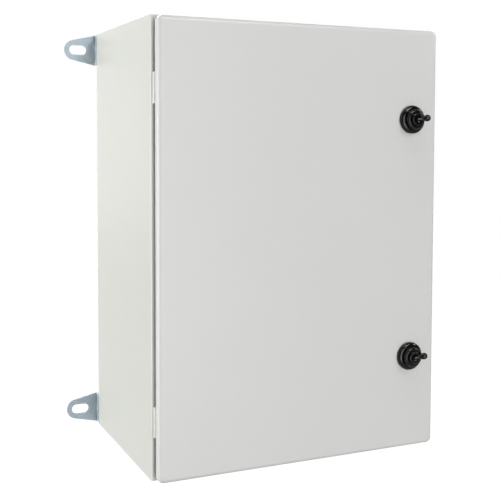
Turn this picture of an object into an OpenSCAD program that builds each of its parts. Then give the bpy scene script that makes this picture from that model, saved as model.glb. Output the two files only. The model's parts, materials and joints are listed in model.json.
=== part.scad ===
// Wall-mounting sheet-steel enclosure with a hinged door, two quarter-turn latches,
// a mounting plate, a gland plate and four wall brackets.
// Frame: the wall is the plane y = 0, the door faces -Y, +Z is up,
// and the origin is the centre of the four wall slots.

/* [Enclosure] */
// Width of the body over its side walls
body_w = 350; // [280:10:600]
// Height of the body over its top and bottom
body_h = 500; // [440:10:800]
// Depth from the back of the body to the face of the closed door
body_d = 250; // [180:10:400]
// Distance from the wall to the back of the body
wall_gap = 10; // [9:0.5:14]
// Thickness of the body and door sheet
sheet_t = 1.5; // [1.2:0.1:1.8]
// Outside radius of the bends in the body's sheet
bend_r = 2.5; // [2.2:0.1:3]
// Outside radius of the upright back edges
back_r = 6; // [3:0.5:7]

/* [Front frame] */
// Width of the flange that is folded inward at the front of each wall
flange_w = 14; // [12.5:0.5:18]
// Height of the gasket lip in front of that flange
lip_h = 9; // [7:0.5:10]

/* [Door] */
// Open gap between the body and the edge of the closed door
door_gap = 8; // [7.5:0.5:10]
// Depth of the fold round the door
door_fold = 10; // [8.5:0.5:14]
// Distance that the door's outline stays inside the body's outline
door_inset = 2; // [1:0.5:3]
// Outside radius of the bend round the door
door_bend_r = 4.5; // [3:0.25:5]
// Radius of the door's corners, seen from the front
door_corner_r = 6.5; // [5.5:0.5:9]
// Width of the foam gasket
gasket_w = 10; // [8:0.5:12]
// Radius of the gasket's centre line at the corners
gasket_corner_r = 8; // [7:0.5:10]
// Radius of the gasket's free edges
gasket_edge_r = 2; // [1:0.25:3]

/* [Hinges] */
// Distance from the top of the body to the middle of the upper hinge
hinge_top_drop = 77; // [50:1:110]
// Distance from the bottom of the body to the middle of the lower hinge
hinge_bottom_rise = 66; // [45:1:110]
// Length of one knuckle
knuckle_l = 16.5; // [12:0.5:24]
// Outside radius of the knuckles
knuckle_r = 3.5; // [3.2:0.1:3.6]
// Radius of the hinge pin
pin_r = 2; // [1.6:0.1:2.2]
// Distance from the body's side to the hinge axis
hinge_inset = 4; // [3.8:0.1:4.5]
// Thickness of the hinge leaves
leaf_t = 2; // [1.5:0.25:2.5]

/* [Latches] */
// Distance from the top of the body to the upper latch
latch_top_drop = 107; // [80:1:160]
// Distance from the bottom of the body to the lower latch
latch_bottom_rise = 112; // [80:1:160]
// Distance from the free edge of the door to the latch axes
latch_inset = 35; // [33:0.5:50]
// Radius of the lock housing's base flange
housing_r = 16.5; // [15:0.5:18]
// Thickness of the base flange
housing_base_t = 5.2; // [3.5:0.1:5.5]
// Rounding of the base flange's rim
housing_rim_r = 2.2; // [1:0.1:3]
// Radius of the drum in front of the base flange
drum_r = 11.75; // [10.5:0.25:12.5]
// Height of the drum's face above the door
drum_h = 12; // [9:0.5:15]
// Radius of the threaded barrel that passes through the door
barrel_r = 9; // [8.5:0.25:10]
// Width over the two flats of the barrel
barrel_flats = 16; // [15:0.25:17]
// Radius of the turning hub in the drum's face
hub_r = 7.2; // [6.8:0.1:7.5]
// Height of the hub above the drum's face
hub_h = 3; // [2:0.5:4]
// Height above the door of the floor of the hub's bore
hub_floor_h = 3.2; // [2:0.2:5]
// Radius of the rim of the conical recess in the middle of the hub
hub_recess_r = 4.4; // [3.5:0.1:5]
// Depth of that recess
hub_recess_d = 1.75; // [1:0.25:2.5]
// Radius of the spindle behind the hub
spindle_r = 5; // [4.6:0.1:5.4]
// Side of the square that drives the cam
square_w = 6.4; // [6:0.1:6.6]
// Distance from the latch axis to the end of the wing
wing_reach = 15.5; // [14:0.5:22]
// Angle of the wing above level while the latch is open
wing_tilt = 9; // [0:1:15]
// Radius of the wing's rounded end
wing_end_r = 4; // [3.5:0.1:4.5]
// Radius of the wing where it leaves the recess
wing_neck_r = 1.9; // [1.5:0.1:2.2]
// Distance from the latch axis to the end of the cam
cam_reach = 30; // [27:0.5:31]
// Width of the cam
cam_w = 12; // [10.5:0.5:14]
// Thickness of the cam
cam_t = 3; // [2:0.5:4]

/* [Mounting plate] */
// Thickness of the mounting plate
plate_t = 2; // [1.5:0.5:3]
// Clearance between the plate and the opening in the front frame
plate_clear = 8; // [4:1:14]
// Distance from the inside of the back to the mounting plate
plate_standoff = 20; // [18:1:30]
// Distance from the plate's edges to its fixing holes
plate_hole_inset = 13; // [12:1:20]

/* [Gland plate] */
// Width of the opening in the bottom panel
gland_cut_w = 200; // [120:5:220]
// Depth of the opening in the bottom panel
gland_cut_d = 100; // [60:5:110]
// Width of the rim of the gland plate round the opening
gland_rim = 20; // [18:1:22]
// Thickness of the gland plate
gland_t = 2; // [1.5:0.5:3]
// Thickness of the gasket under the gland plate
gland_gasket_t = 2; // [1.5:0.5:3]

/* [Wall brackets] */
// Thickness of the brackets
bracket_t = 2.5; // [2:0.25:3]
// Height of the brackets
bracket_h = 37.5; // [34:0.5:42]
// Reach of the brackets beyond the body's sides
bracket_reach = 38; // [36:0.5:44]
// Radius of the rounded end of the brackets
bracket_end_r = 12.5; // [11:0.5:14]
// Length of the slot, end to end
slot_l = 22; // [18:0.5:24]
// Width of the slot
slot_w = 12; // [8.5:0.5:13]
// Distance from the body's side to the middle of the slot
slot_out = 21; // [20:0.5:23]
// Length of the bracket's foot on the back of the body
foot_l = 32; // [28:1:40]

/* [Fasteners] */
// Thread radius of the bracket screws, plate studs and earth studs
stud_r = 4; // [3:0.5:4]
// Thread radius of the gland plate studs
gland_stud_r = 3; // [2.5:0.5:3]
// Thread radius of the cam screws
cam_screw_r = 2; // [1.5:0.25:2]
// Length of the cam screws under the washer
cam_screw_l = 9; // [8:1:12]
// Width over the flats of the nuts that clamp the latches
lock_nut_flats = 24; // [22:0.5:25]
// Thickness of those nuts
lock_nut_h = 5; // [4:0.5:7]
// Thickness of the flat seals under the latch housings
lock_seal_t = 0.8; // [0.5:0.1:1.2]
// Length of the earth studs
earth_l = 20; // [16:1:26]
// Height of the earth studs above the bottom of the body
earth_rise = 45; // [30:1:80]
// Distance from the front flange back to the body's earth stud
body_earth_back = 40; // [25:1:80]
// Distance from the hinge axis to the door's earth stud
door_earth_out = 41; // [30:1:60]

/* [Hidden] */
$fn = 64;

// Cuts run past the faces by this much
past = 1;
// Radial clearance of a turning fit, of a seated pin and of a screw in its hole
turn_clear = 0.05;
seat_clear = 0.02;
hole_clear = 0.3;
// Space between pieces of the door and of the body when the door is closed
close_clear = 0.3;
// Axial gap between the two knuckles of a hinge
knuckle_clear = 0.3;
// A seal stays this far inside the edge of what it seals
seat_edge = 0.5;
// Gap between the front flange and the cam, and between the barrel and the cam
cam_clear = 0.5;
barrel_gap = 1;

// Main planes
side_x = body_w / 2;
top_z = body_h / 2;
back_y = -wall_gap;
door_y = -(wall_gap + body_d);
frame_y = door_y + door_fold + door_gap;
inner_back_y = back_y - sheet_t;
door_inner_y = door_y + sheet_t;

// Door outline
door_w = body_w - 2 * door_inset;
door_h = body_h - 2 * door_inset;

// The gasket runs along the middle of the lip and stops short of it
lip_line_w = body_w - 2 * flange_w + sheet_t;
lip_line_h = body_h - 2 * flange_w + sheet_t;
gasket_h = door_fold + door_gap - sheet_t - lip_h - close_clear;

// Hinge axis and heights
hinge_x = hinge_inset - side_x;
hinge_y = frame_y - door_gap / 2;
hinge_z = [top_z - hinge_top_drop, hinge_bottom_rise - top_z];

// Latch axes, and where the cam turns behind the front flange
latch_x = door_w / 2 - latch_inset;
latch_z = [top_z - latch_top_drop, latch_bottom_rise - top_z];
cam_front = door_y - frame_y - sheet_t - cam_clear;
barrel_end = cam_front + barrel_gap;
wing_lift = drum_h + wing_end_r + cam_clear;

// Mounting plate and its studs
plate_w = body_w - 2 * (flange_w + plate_clear);
plate_h = body_h - 2 * (flange_w + plate_clear);
plate_y = inner_back_y - plate_standoff;
plate_hole_x = plate_w / 2 - plate_hole_inset;
plate_hole_z = plate_h / 2 - plate_hole_inset;

// Gland plate, centred on the depth of the bottom panel
gland_y = (inner_back_y + frame_y) / 2;
gland_w = gland_cut_w + 2 * gland_rim;
gland_d = gland_cut_d + 2 * gland_rim;
gland_edge = 2;
gland_corner_r = 6;
bottom_in_z = sheet_t - top_z;

// Wall brackets sit level with the top and the bottom of the body
bracket_z = top_z - bracket_h / 2;
bracket_bend_r = bracket_t + 1;
screw_out = foot_l / 2;

// Nuts, heads and washers follow the thread they belong to
nut_flats = 3.25 * stud_r;
nut_h = 1.6 * stud_r;
gland_nut_flats = 3.33 * gland_stud_r;
gland_nut_h = 1.6 * gland_stud_r;
stud_past_nut = 4;
screw_head_h = 1.2 * stud_r;
shoulder_r = 1.9 * stud_r;
bracket_seal_r = 2.2 * stud_r;
bracket_seal_t = 1.5;
cam_washer_t = 1;
cam_head_h = 2.2;

// Turned and moulded edges of the latches
drum_bevel = 2.2;
drum_groove = 0.6;
hub_edge = 1;
hub_top = drum_h + hub_h;

// Rounded feet of the brackets, and the dart pressed into their step
bracket_foot_r = 5;
dart_leg = 2;
dart_l = 0.46 * bracket_h;

// Earth studs
earth_z = earth_rise - top_z;
body_earth_y = frame_y + body_earth_back;
door_earth_x = hinge_x + door_earth_out;

steel_grey = [0.86, 0.87, 0.85];
zinc = [0.69, 0.73, 0.77];
nylon_black = [0.05, 0.05, 0.05];
foam = [0.16, 0.16, 0.17];

// ---- Shared shapes ----

// Places children with their +Z towards the viewer, on the plane y
module on_front(y) {
    translate([0, y, 0])
        rotate([90, 0, 0])
            children();
}

// Places children at the axis of latch i, with z = 0 on the door's face
module at_latch(i) {
    on_front(door_y)
        translate([latch_x, latch_z[i], 0])
            children();
}

// Quarter of a bent sheet's section, in the quadrant that starts at the angle
module quarter_bend(angle, r, t) {
    rotate(angle)
        intersection() {
            difference() {
                circle(r);
                circle(r - t);
            }
            square(r + past);
        }
}

// Sweeps a section (x outward, y along the depth) round a rounded rectangle.
// x = 0 of the section lies on the centres of the corner arcs.
module sweep_round(w, h, r) {
    for (corner = [0:3]) {
        turned = corner % 2 == 1;
        half_across = (turned ? h : w) / 2 - r;
        half_along = (turned ? w : h) / 2 - r;
        rotate(90 * corner) {
            translate([half_across, half_along, 0])
                rotate_extrude(angle = 90)
                    children();
            translate([half_across, half_along, 0])
                rotate([90, 0, 0])
                    linear_extrude(2 * half_along)
                        children();
        }
    }
}

// Plate with round corners, from z = 0 up
module round_plate(w, h, t, r) {
    translate([r - w / 2, -h / 2, 0])
        cube([w - 2 * r, h, t]);
    translate([-w / 2, r - h / 2, 0])
        cube([w, h - 2 * r, t]);
    for (x = [r - w / 2, w / 2 - r], y = [r - h / 2, h / 2 - r])
        translate([x, y, 0])
            cylinder(r = r, h = t);
}

// Hexagon with both faces turned down at the corners
module hex_form(flats, h) {
    corner_r = flats / sqrt(3);
    turned = corner_r - flats / 2;
    intersection() {
        cylinder(r = corner_r, h = h, $fn = 6);
        rotate_extrude()
            polygon([
                [0, 0], [flats / 2, 0], [corner_r, turned / 2],
                [corner_r, h - turned / 2], [flats / 2, h], [0, h]
            ]);
    }
}

// Hexagon nut, bored through
module hex_nut(flats, h, bore_r) {
    difference() {
        hex_form(flats, h);
        translate([0, 0, -past])
            cylinder(r = bore_r, h = h + 2 * past);
    }
}

// Two balls joined by the cone that touches both; the places are [x, z]
module tapered_bar(from, from_r, to, to_r) {
    run = to - from;
    lean = asin((to_r - from_r) / norm(run));
    start = -from_r * sin(lean);
    end = norm(run) - to_r * sin(lean);
    translate([from[0], 0, from[1]])
        rotate([0, atan2(run[0], run[1]), 0]) {
            sphere(from_r);
            translate([0, 0, norm(run)])
                sphere(to_r);
            translate([0, 0, start])
                cylinder(r1 = from_r * cos(lean), r2 = to_r * cos(lean), h = end - start);
        }
}

// Threaded stud with a turned end, from z = 0 up
module stud(r, l) {
    tip = r / 5;
    cylinder(r = r, h = l - tip);
    translate([0, 0, l - tip])
        cylinder(r1 = r, r2 = r - tip, h = tip);
}

// Children at the four wall bracket screws, +Z towards the viewer
module at_bracket_screws(y) {
    on_front(y)
        for (x = [-1, 1], z = [-1, 1])
            translate([x * (side_x - screw_out), z * bracket_z, 0])
                children();
}

// Children at the four mounting plate studs, +Z towards the viewer
module at_plate_studs(y) {
    on_front(y)
        for (x = [-1, 1], z = [-1, 1])
            translate([x * plate_hole_x, z * plate_hole_z, 0])
                children();
}

// Children at the six gland plate studs, on the plane z
module at_gland_studs(z) {
    reach_x = gland_cut_w / 2 + gland_rim / 2;
    reach_y = gland_cut_d / 2 + gland_rim / 2;
    for (x = [-reach_x, 0, reach_x], y = [-reach_y, reach_y])
        translate([x, gland_y + y, z])
            children();
}

// ---- Body ----

// Section of the front frame: bend, flange and gasket lip.
// x runs inward from the wall's outside, y forward from the flange's face.
module frame_section() {
    translate([bend_r, -bend_r])
        quarter_bend(90, bend_r, sheet_t);
    translate([bend_r, -sheet_t])
        square([flange_w - 2 * bend_r, sheet_t]);
    translate([flange_w - bend_r, bend_r - sheet_t])
        quarter_bend(270, bend_r, sheet_t);
    translate([flange_w - sheet_t, bend_r - sheet_t])
        square([sheet_t, lip_h - bend_r + sheet_t]);
}

// Everything on one side of the frame's 45 degree mitres: a wedge that
// narrows inward from a wall of the given length, lying at x = 0
module mitre_wedge(length) {
    deep = flange_w + past;
    translate([0, 0, -bend_r - past])
        linear_extrude(bend_r + lip_h + 2 * past)
            polygon([
                [0, -length / 2], [deep, deep - length / 2],
                [deep, length / 2 - deep], [0, length / 2]
            ]);
}

// One mitred leg of the front frame. The wall's outside is x = 0,
// inward is +X, forward is +Z and the leg runs along Y.
module frame_leg(length) {
    intersection() {
        rotate([90, 0, 0])
            linear_extrude(length, center = true)
                frame_section();
        mitre_wedge(length);
    }
}

// Back and both sides, bent from one sheet, with the upright legs of the frame
module body_wrap() {
    color(steel_grey)
        difference() {
            union() {
                translate([0, 0, sheet_t - top_z])
                    linear_extrude(body_h - 2 * sheet_t)
                        wrap_section();
                for (side = [0, 1])
                    mirror([side, 0, 0])
                        translate([-side_x, 0, 0])
                            on_front(frame_y)
                                frame_leg(body_h);
            }
            at_bracket_screws(back_y + past)
                cylinder(r = stud_r + hole_clear, h = sheet_t + 2 * past);
        }
}

// Section of the wrap in the XY plane, up to the front bends
module wrap_section() {
    wall_l = back_y - back_r - frame_y - bend_r;
    for (side = [0, 1])
        mirror([side, 0]) {
            translate([-side_x, frame_y + bend_r])
                square([sheet_t, wall_l]);
            translate([back_r - side_x, back_y - back_r])
                quarter_bend(90, back_r, sheet_t);
        }
    translate([back_r - side_x, inner_back_y])
        square([body_w - 2 * back_r, sheet_t]);
}

// Flat cover over the end of the wrap, from z = 0 up
module end_cover() {
    front = frame_y + bend_r;
    translate([-side_x, front, 0])
        cube([body_w, back_y - back_r - front, sheet_t]);
    translate([back_r - side_x, back_y - back_r, 0])
        cube([body_w - 2 * back_r, back_r, sheet_t]);
    for (x = [back_r - side_x, side_x - back_r])
        translate([x, back_y - back_r, 0])
            cylinder(r = back_r, h = sheet_t);
}

// Cover and cross leg of the frame, as they lie at the top
module end_panel() {
    translate([0, 0, top_z - sheet_t])
        end_cover();
    translate([0, 0, top_z])
        on_front(frame_y)
            rotate(-90)
                frame_leg(body_w);
}

module top_panel() {
    color(steel_grey)
        end_panel();
}

// Bottom with the gland opening
module bottom_panel() {
    color(steel_grey)
        difference() {
            mirror([0, 0, 1])
                end_panel();
            translate([0, gland_y, -top_z - past])
                round_plate(gland_cut_w, gland_cut_d, sheet_t + 2 * past, gland_corner_r);
        }
}

// ---- Gland plate ----

module gland_gasket() {
    color(foam)
        difference() {
            translate([0, gland_y, bottom_in_z])
                round_plate(gland_w - 2 * gland_edge, gland_d - 2 * gland_edge,
                            gland_gasket_t, gland_corner_r);
            translate([0, gland_y, bottom_in_z - past])
                round_plate(gland_cut_w + 2 * gland_edge, gland_cut_d + 2 * gland_edge,
                            gland_gasket_t + 2 * past, gland_corner_r);
            at_gland_studs(bottom_in_z - past)
                cylinder(r = gland_stud_r + hole_clear, h = gland_gasket_t + 2 * past);
        }
}

module gland_plate() {
    color(steel_grey)
        difference() {
            translate([0, gland_y, bottom_in_z + gland_gasket_t])
                round_plate(gland_w, gland_d, gland_t, gland_corner_r);
            at_gland_studs(bottom_in_z)
                cylinder(r = gland_stud_r + hole_clear, h = gland_gasket_t + gland_t + past);
        }
}

module gland_studs() {
    color(zinc)
        at_gland_studs(bottom_in_z)
            stud(gland_stud_r, gland_gasket_t + gland_t + gland_nut_h + stud_past_nut / 2);
}

module gland_nuts() {
    color(zinc)
        at_gland_studs(bottom_in_z + gland_gasket_t + gland_t)
            hex_nut(gland_nut_flats, gland_nut_h, gland_stud_r + seat_clear);
}

// ---- Mounting plate ----

// Weld studs with a shoulder that holds the plate off the back
module plate_studs() {
    color(zinc)
        at_plate_studs(inner_back_y) {
            cylinder(r = shoulder_r, h = plate_standoff);
            stud(stud_r, plate_standoff + plate_t + nut_h + stud_past_nut);
        }
}

module mounting_plate() {
    color(zinc)
        difference() {
            on_front(plate_y)
                round_plate(plate_w, plate_h, plate_t, gland_corner_r);
            at_plate_studs(plate_y + past)
                cylinder(r = stud_r + hole_clear, h = plate_t + 2 * past);
        }
}

module plate_nuts() {
    color(zinc)
        at_plate_studs(plate_y - plate_t)
            hex_nut(nut_flats, nut_h, stud_r + seat_clear);
}

// ---- Wall brackets ----

// Angle at which the bracket's sloping edge meets its round end
function tangent_angle(across, up, r) = atan2(up, -across) - acos(r / norm([across, up]));

// Outline of a bracket: foot to the left of x = 0, tapered lug with a round end
// to the right, the slot not yet cut
module bracket_outline() {
    centre = bracket_reach - bracket_end_r;
    half_h = bracket_h / 2;
    angle = tangent_angle(centre, half_h, bracket_end_r);
    touch = [centre + bracket_end_r * cos(angle), bracket_end_r * sin(angle)];
    translate([centre, 0])
        circle(bracket_end_r);
    polygon([
        [bracket_foot_r - foot_l, -half_h], [0, -half_h], [touch[0], -touch[1]],
        touch, [0, half_h], [bracket_foot_r - foot_l, half_h]
    ]);
    translate([-foot_l, bracket_foot_r - half_h])
        square([foot_l, bracket_h - 2 * bracket_foot_r]);
    for (z = [bracket_foot_r - half_h, half_h - bracket_foot_r])
        translate([bracket_foot_r - foot_l, z])
            circle(bracket_foot_r);
}

// Z-shaped section of a bracket: foot on the body's back, step, lug on the wall.
// x runs outward from the body's side, y forward from the wall.
module bracket_section() {
    foot_y = wall_gap - bracket_t;
    translate([-foot_l, foot_y])
        square([foot_l - bracket_bend_r, bracket_t]);
    translate([-bracket_bend_r, wall_gap - bracket_bend_r])
        quarter_bend(0, bracket_bend_r, bracket_t);
    translate([-bracket_t, bracket_bend_r])
        square([bracket_t, wall_gap - 2 * bracket_bend_r]);
    translate([bracket_bend_r - bracket_t, bracket_bend_r])
        quarter_bend(180, bracket_bend_r, bracket_t);
    translate([bracket_bend_r - bracket_t, 0])
        square([bracket_reach - bracket_bend_r + bracket_t, bracket_t]);
}

// Bracket at the wall plane: x outward, y up the wall, z forward
module bracket_blank() {
    difference() {
        intersection() {
            union() {
                rotate([90, 0, 0])
                    linear_extrude(bracket_h, center = true)
                        bracket_section();
                bracket_dart(bracket_t, dart_leg, dart_l);
            }
            linear_extrude(wall_gap)
                bracket_outline();
        }
        translate([-bracket_t / sqrt(2), 0, -bracket_t / sqrt(2)])
            bracket_dart(bracket_t, dart_leg, dart_l - 2 * bracket_t);
        for (x = [-1, 1])
            translate([slot_out + x * (slot_l - slot_w) / 2, 0, -past])
                cylinder(d = slot_w, h = bracket_t + 2 * past);
        translate([slot_out - (slot_l - slot_w) / 2, -slot_w / 2, -past])
            cube([slot_l - slot_w, slot_w, bracket_t + 2 * past]);
        translate([-screw_out, 0, 0])
            cylinder(r = stud_r + hole_clear, h = wall_gap + past);
    }
}

// Stiffening dart pressed across the inner corner of the bracket's step
module bracket_dart(corner_z, leg, length) {
    translate([0, 0, corner_z])
        rotate([90, 0, 0])
            linear_extrude(length, center = true)
                polygon([[-past, -past], [leg, -past], [leg, 0], [0, leg], [-past, leg]]);
}

// Bracket at a corner of the body: side and up are -1 or 1
module bracket(side, up) {
    color(zinc)
        mirror([side < 0 ? 1 : 0, 0, 0])
            translate([side_x, 0, up * bracket_z])
                rotate([90, 0, 0])
                    bracket_blank();
}

module bracket_top_left() { bracket(-1, 1); }
module bracket_top_right() { bracket(1, 1); }
module bracket_bottom_left() { bracket(-1, -1); }
module bracket_bottom_right() { bracket(1, -1); }

// Hexagon-head screws from the wall side, through foot and back
module bracket_screws() {
    grip = bracket_t + sheet_t + bracket_seal_t + nut_h;
    color(zinc)
        at_bracket_screws(back_y + bracket_t) {
            stud(stud_r, grip + stud_past_nut / 2);
            translate([0, 0, -screw_head_h])
                hex_form(nut_flats, screw_head_h);
        }
}

module bracket_seals() {
    color(foam)
        at_bracket_screws(inner_back_y)
            difference() {
                cylinder(r = bracket_seal_r, h = bracket_seal_t);
                translate([0, 0, -past])
                    cylinder(r = stud_r + turn_clear, h = bracket_seal_t + 2 * past);
            }
}

module bracket_nuts() {
    color(zinc)
        at_bracket_screws(inner_back_y - bracket_seal_t)
            hex_nut(nut_flats, nut_h, stud_r + seat_clear);
}

// ---- Hinges ----

// Body's knuckle below, with a leaf on the face of the front flange
module body_leaf(i) {
    color(steel_grey)
        translate([hinge_x, hinge_y, hinge_z[i] - knuckle_l])
            difference() {
                union() {
                    cylinder(r = knuckle_r, h = knuckle_l);
                    translate([0, door_gap / 2 - leaf_t, 0])
                        cube([flange_w - sheet_t - hinge_inset - bend_r / 2, leaf_t, knuckle_l]);
                }
                translate([0, 0, -past])
                    cylinder(r = pin_r + seat_clear, h = knuckle_l + 2 * past);
            }
}

// Door's knuckle above, with a leaf on the flat of the door's fold
module door_leaf(i) {
    fold_in_x = door_inset + sheet_t - hinge_inset;
    reach = door_gap / 2 + door_fold - door_bend_r;
    color(steel_grey)
        translate([hinge_x, hinge_y, hinge_z[i] + knuckle_clear])
            difference() {
                union() {
                    cylinder(r = knuckle_r, h = knuckle_l);
                    translate([fold_in_x, -reach, 0])
                        cube([leaf_t, reach, knuckle_l]);
                }
                translate([0, 0, -past])
                    cylinder(r = pin_r + turn_clear, h = knuckle_l + 2 * past);
            }
}

module body_leaf_top() { body_leaf(0); }
module body_leaf_bottom() { body_leaf(1); }
module door_leaf_top() { door_leaf(0); }
module door_leaf_bottom() { door_leaf(1); }

// Pins seated in the body's knuckles; the door lifts off them upward
module hinge_pins() {
    color(zinc)
        for (z = hinge_z)
            translate([hinge_x, hinge_y, z - knuckle_l])
                stud(pin_r, 2 * knuckle_l - knuckle_clear);
}

// ---- Earth studs ----

module body_earth_stud() {
    color(zinc)
        translate([sheet_t - side_x, body_earth_y, earth_z])
            rotate([0, 90, 0])
                stud(stud_r, earth_l);
}

module body_earth_nut() {
    color(zinc)
        translate([sheet_t - side_x + earth_l / 4, body_earth_y, earth_z])
            rotate([0, 90, 0])
                hex_nut(nut_flats, nut_h, stud_r + seat_clear);
}

module door_earth_stud() {
    color(zinc)
        translate([door_earth_x, door_inner_y, earth_z])
            rotate([-90, 0, 0])
                stud(stud_r, earth_l);
}

module door_earth_nut() {
    color(zinc)
        translate([door_earth_x, door_inner_y + earth_l / 4, earth_z])
            rotate([-90, 0, 0])
                hex_nut(nut_flats, nut_h, stud_r + seat_clear);
}

// ---- Door ----

// Section of the door's edge: face, bend and fold. x runs outward from the
// centre of the corner arcs, y is 0 on the face and negative behind it.
module door_section() {
    translate([0, -sheet_t])
        square([door_corner_r - door_bend_r, sheet_t]);
    translate([door_corner_r - door_bend_r, -door_bend_r])
        quarter_bend(0, door_bend_r, sheet_t);
    translate([door_corner_r - sheet_t, -door_fold])
        square([sheet_t, door_fold - door_bend_r]);
}

module door_panel() {
    color(steel_grey)
        difference() {
            on_front(door_y) {
                sweep_round(door_w, door_h, door_corner_r)
                    door_section();
                translate([door_corner_r - door_w / 2, door_corner_r - door_h / 2, -sheet_t])
                    cube([door_w - 2 * door_corner_r, door_h - 2 * door_corner_r, sheet_t]);
            }
            for (i = [0, 1])
                at_latch(i)
                    translate([0, 0, -sheet_t - past])
                        barrel_form(barrel_r + hole_clear, barrel_flats + hole_clear,
                                    sheet_t + 2 * past);
        }
}

// Foam section: flat on the door, its two free edges rounded
module gasket_section() {
    inner = gasket_corner_r - gasket_w / 2;
    translate([inner, gasket_edge_r - gasket_h])
        square([gasket_w, gasket_h - gasket_edge_r]);
    translate([inner + gasket_edge_r, -gasket_h])
        square([gasket_w - 2 * gasket_edge_r, gasket_h]);
    for (x = [inner + gasket_edge_r, inner + gasket_w - gasket_edge_r])
        translate([x, gasket_edge_r - gasket_h])
            circle(gasket_edge_r);
}

module door_gasket() {
    color(foam)
        on_front(door_inner_y)
            sweep_round(lip_line_w, lip_line_h, gasket_corner_r)
                gasket_section();
}

// ---- Latches ----

// Round bar with two flats, which keep it from turning in the door
module barrel_form(r, flats, l) {
    intersection() {
        cylinder(r = r, h = l);
        translate([-flats / 2, -r - past, 0])
            cube([flats, 2 * (r + past), l]);
    }
}

// Half section of the housing in front of the door: rounded base flange,
// groove, and drum with a bevelled edge
module housing_section() {
    base_z = lock_seal_t + housing_base_t;
    translate([0, lock_seal_t])
        square([housing_r, housing_base_t - housing_rim_r]);
    translate([0, lock_seal_t])
        square([housing_r - housing_rim_r, housing_base_t]);
    translate([housing_r - housing_rim_r, base_z - housing_rim_r])
        intersection() {
            circle(housing_rim_r);
            square(housing_rim_r);
        }
    difference() {
        polygon([
            [0, base_z - drum_groove], [drum_r, base_z - drum_groove],
            [drum_r, drum_h - drum_bevel], [drum_r - drum_bevel, drum_h], [0, drum_h]
        ]);
        translate([drum_r - drum_groove / 2, base_z])
            square([drum_groove, drum_groove]);
    }
}

module lock_housing(i) {
    color(nylon_black)
        at_latch(i)
            difference() {
                union() {
                    rotate_extrude()
                        housing_section();
                    translate([0, 0, barrel_end])
                        barrel_form(barrel_r, barrel_flats, lock_seal_t + past - barrel_end);
                }
                translate([0, 0, hub_floor_h])
                    cylinder(r = hub_r + turn_clear, h = drum_h);
                translate([0, 0, barrel_end - past])
                    cylinder(r = spindle_r + turn_clear, h = drum_h - barrel_end);
            }
}

module lock_housing_top() { lock_housing(0); }
module lock_housing_bottom() { lock_housing(1); }

// Flat seals between the housings and the door
module lock_seals() {
    color(foam)
        for (i = [0, 1])
            at_latch(i)
                difference() {
                    cylinder(r = housing_r - seat_edge, h = lock_seal_t);
                    translate([0, 0, -past])
                        cylinder(r = barrel_r + hole_clear, h = lock_seal_t + 2 * past);
                }
}

// Hexagon nuts that clamp the housings from inside the door
module lock_nuts() {
    color(zinc)
        for (i = [0, 1])
            at_latch(i)
                translate([0, 0, -sheet_t - lock_nut_h])
                    hex_nut(lock_nut_flats, lock_nut_h, barrel_r + seat_clear);
}

// Hub, wing, spindle and driving square in one moulding
module wing_spindle(i) {
    floor_z = hub_floor_h + turn_clear;
    color(nylon_black)
        at_latch(i)
            difference() {
                union() {
                    difference() {
                        union() {
                            translate([0, 0, floor_z])
                                cylinder(r = hub_r, h = hub_top - hub_edge - floor_z);
                            translate([0, 0, hub_top - hub_edge])
                                cylinder(r1 = hub_r, r2 = hub_r - hub_edge, h = hub_edge);
                        }
                        translate([0, 0, hub_top - hub_recess_d])
                            cylinder(r1 = hub_recess_r - hub_recess_d, r2 = hub_recess_r + past,
                                     h = hub_recess_d + past);
                    }
                    translate([0, 0, cam_front])
                        cylinder(r = spindle_r, h = floor_z - cam_front);
                    translate([-square_w / 2, -square_w / 2, cam_front - cam_t])
                        cube([square_w, square_w, cam_t + past]);
                    rotate(wing_tilt)
                        tapered_bar([0, hub_top - wing_neck_r / 2], wing_neck_r,
                                    [wing_reach - wing_end_r, wing_lift], wing_end_r);
                }
                translate([0, 0, cam_front - cam_t - past])
                    cylinder(r = cam_screw_r + seat_clear,
                             h = past + cam_screw_l + cam_screw_r);
            }
}

// Flat cam that turns behind the front flange; it points up while unlatched
module cam(i) {
    cam_hub_r = 0.75 * cam_w;
    color(zinc)
        at_latch(i)
            translate([0, 0, cam_front - cam_t])
                difference() {
                    union() {
                        cylinder(r = cam_hub_r, h = cam_t);
                        translate([-cam_w / 2, 0, 0])
                            cube([cam_w, cam_reach - cam_w / 2, cam_t]);
                        translate([0, cam_reach - cam_w / 2, 0])
                            cylinder(r = cam_w / 2, h = cam_t);
                    }
                    translate([0, 0, cam_t / 2])
                        cube([square_w + 2 * turn_clear, square_w + 2 * turn_clear,
                              cam_t + 2 * past], center = true);
                }
}

// Pan-head screw with a washer that holds the cam on its square
module cam_screw(i) {
    color(zinc)
        at_latch(i)
            translate([0, 0, cam_front - cam_t]) {
                translate([0, 0, -cam_washer_t])
                    cylinder(r = 3 * cam_screw_r, h = cam_washer_t);
                translate([0, 0, -cam_washer_t - cam_head_h])
                    cylinder(r = 2 * cam_screw_r, h = cam_head_h);
                cylinder(r = cam_screw_r, h = cam_screw_l);
            }
}

module wing_spindle_top() { wing_spindle(0); }
module wing_spindle_bottom() { wing_spindle(1); }
module cam_top() { cam(0); }
module cam_bottom() { cam(1); }
module cam_screw_top() { cam_screw(0); }
module cam_screw_bottom() { cam_screw(1); }

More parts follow.
